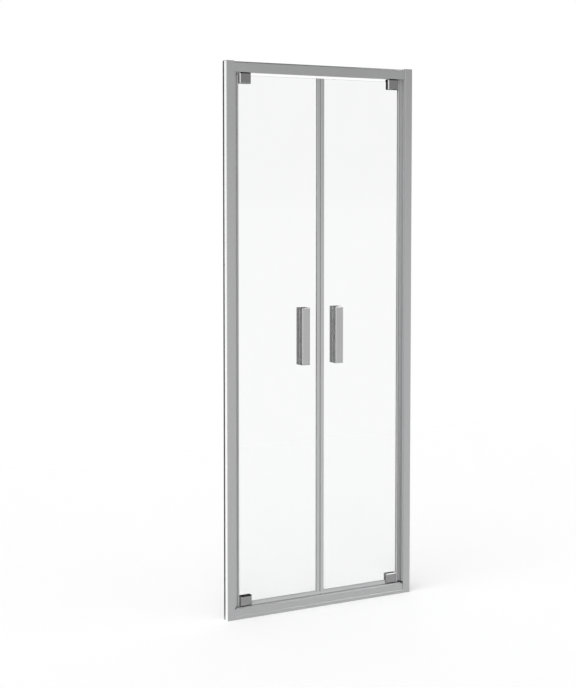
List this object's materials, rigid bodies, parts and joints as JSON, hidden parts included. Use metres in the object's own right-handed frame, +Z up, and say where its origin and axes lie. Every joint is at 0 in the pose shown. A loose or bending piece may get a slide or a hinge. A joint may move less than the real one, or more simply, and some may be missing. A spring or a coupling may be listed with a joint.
{
  "type": "double hinged shower door",
  "caption": "Framed niche shower door: glass leaves on chrome pivot clamps swing outward and meet at magnetic stiles, with bar handles and a raised sill.",
  "frame": {"origin": "middle of the sill's base face, at the frame's mid-depth", "axes": "+X right seen from outside, +Y into the shower, +Z up"},
  "size_m": [0.76, 0.0495, 1.95],
  "materials": {
    "frame_aluminium": "satin anodised",
    "stile_aluminium": "satin anodised",
    "sealing_tape": "matt white foam",
    "cap_plastic": "matt grey",
    "dark_rubber": "matt",
    "bush_plastic": "smooth moulded",
    "screw_steel": "turned stainless",
    "pin_steel": "ground stainless",
    "cover_plastic": "semi-gloss",
    "clear_glass": "clear toughened",
    "hinge_chrome": "polished",
    "handle_chrome": "polished",
    "gasket_rubber": "matt translucent grey",
    "seal_plastic": "soft translucent grey",
    "magnet_rubber": "matt magnetic strip"
  },
  "bodies": {
    "frame": {"wall_channel_left": "frame_aluminium", "wall_channel_right": "frame_aluminium", "wall_tape_left": "sealing_tape", "wall_tape_right": "sealing_tape", "channel_cap_left": "cap_plastic", "channel_cap_right": "cap_plastic", "jamb_post_left": "frame_aluminium", "jamb_post_right": "frame_aluminium", "post_foot_left": "dark_rubber", "post_foot_right": "dark_rubber", "header_rail": "frame_aluminium", "sill_rail": "frame_aluminium", "lower_bushes": "bush_plastic", "upper_bushes": "bush_plastic", "corner_screws": "screw_steel", "adjust_screws": "screw_steel", "screw_covers": "cover_plastic"},
    "left_leaf": {"glass_left": "clear_glass", "hinge_bottom_outer_left": "hinge_chrome", "hinge_bottom_inner_left": "hinge_chrome", "hinge_top_outer_left": "hinge_chrome", "hinge_top_inner_left": "hinge_chrome", "pivot_pins_left": "pin_steel", "hinge_gaskets_left": "gasket_rubber", "hinge_screws_left": "screw_steel", "edge_seal_left": "seal_plastic", "bottom_seal_left": "seal_plastic", "meeting_stile_left": "stile_aluminium", "magnet_strip_left": "magnet_rubber", "handle_outer_left": "handle_chrome", "handle_inner_left": "handle_chrome", "handle_screws_left": "screw_steel", "handle_gaskets_left": "gasket_rubber"},
    "right_leaf": {"glass_right": "clear_glass", "hinge_bottom_outer_right": "hinge_chrome", "hinge_bottom_inner_right": "hinge_chrome", "hinge_top_outer_right": "hinge_chrome", "hinge_top_inner_right": "hinge_chrome", "pivot_pins_right": "pin_steel", "hinge_gaskets_right": "gasket_rubber", "hinge_screws_right": "screw_steel", "edge_seal_right": "seal_plastic", "bottom_seal_right": "seal_plastic", "meeting_stile_right": "stile_aluminium", "magnet_strip_right": "magnet_rubber", "handle_outer_right": "handle_chrome", "handle_inner_right": "handle_chrome", "handle_screws_right": "screw_steel", "handle_gaskets_right": "gasket_rubber"}
  },
  "joints": [
    {"name": "left_leaf_hinge", "type": "hinge", "parent": "frame", "child": "left_leaf", "pos_m": [-0.311, 0.004, 0.974], "axis": [0, 0, -1], "range_deg": [0, 95]},
    {"name": "right_leaf_hinge", "type": "hinge", "parent": "frame", "child": "right_leaf", "pos_m": [0.311, 0.004, 0.974], "axis": [0, 0, 1], "range_deg": [0, 95]}
  ]
}
